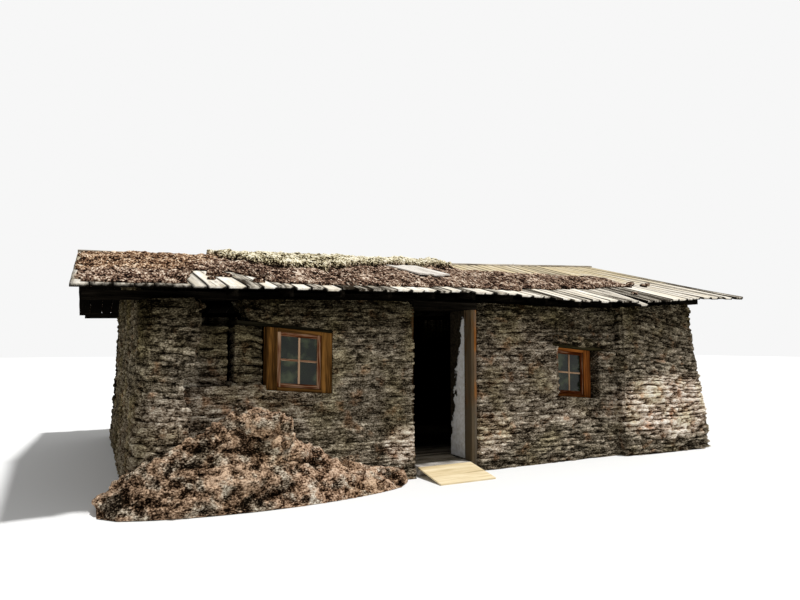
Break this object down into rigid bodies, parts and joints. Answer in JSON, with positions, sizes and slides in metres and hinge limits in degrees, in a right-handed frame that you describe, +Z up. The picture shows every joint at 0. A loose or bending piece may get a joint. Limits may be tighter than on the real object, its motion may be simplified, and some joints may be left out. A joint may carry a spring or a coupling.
{
  "type": "turf house",
  "caption": "Low one-room turf house with thick laid-up sod walls, a sagging plank roof under turf, a doorway and small racked windows.",
  "frame": {"origin": "the middle of the floor at ground level, on the underside of the middle floor sleeper", "axes": "+X along the front wall to the east end, +Y to the back wall, +Z up"},
  "size_m": [9.88, 6.661, 3.2933],
  "materials": {
    "sod": "rough laid-up sod, grey-brown and fibrous",
    "fallen_sod": "crumbled sod with roots",
    "roof_turf": "dry rust-brown turf",
    "dry_moss": "dry olive and tan turf",
    "deck_plank": "weathered silver-grey plank",
    "frame_timber": "rough grey-brown timber",
    "stained_wood": "red-brown stained wood, worn grey",
    "window_glass": "dusty window glass",
    "lime_plaster": "flaking white lime plaster",
    "floor_plank": "worn grey floor plank",
    "step_wood": "tan sheet wood"
  },
  "bodies": {
    "root": {"west_corner_mass": "sod", "wall_below_recess": "sod", "recess_stacks": "sod", "wall_below_west_window": "sod", "wall_over_west_window": "sod", "wall_window_to_door": "sod", "wall_door_to_window": "sod", "wall_below_east_window": "sod", "wall_over_east_window": "sod", "wall_beside_east_window": "sod", "east_corner_mass": "sod", "west_end_wall": "sod", "east_end_wall": "sod", "back_wall": "sod", "west_gable": "sod", "east_gable": "sod", "front_wall_plate": "frame_timber", "back_wall_plate": "frame_timber", "ridge_beam": "frame_timber", "rafters": "frame_timber", "front_roof_deck": "deck_plank", "back_roof_deck": "deck_plank", "ridge_board": "deck_plank", "roof_turf_west": "roof_turf", "roof_turf_middle": "dry_moss", "roof_turf_east": "roof_turf", "back_roof_turf": "roof_turf", "door_post_west": "stained_wood", "door_post_east": "stained_wood", "door_head": "stained_wood", "door_sill": "floor_plank", "door_reveal_plaster": "lime_plaster", "door_step_board": "step_wood", "west_window_frame": "stained_wood", "west_window_sash": "stained_wood", "west_window_glass": "window_glass", "west_window_lintel": "frame_timber", "east_window_frame": "stained_wood", "east_window_sash": "stained_wood", "east_window_glass": "window_glass", "east_window_lintel": "frame_timber", "floor_boards": "floor_plank", "floor_sleepers": "frame_timber", "slumped_sod_heap": "fallen_sod"}
  },
  "joints": []
}
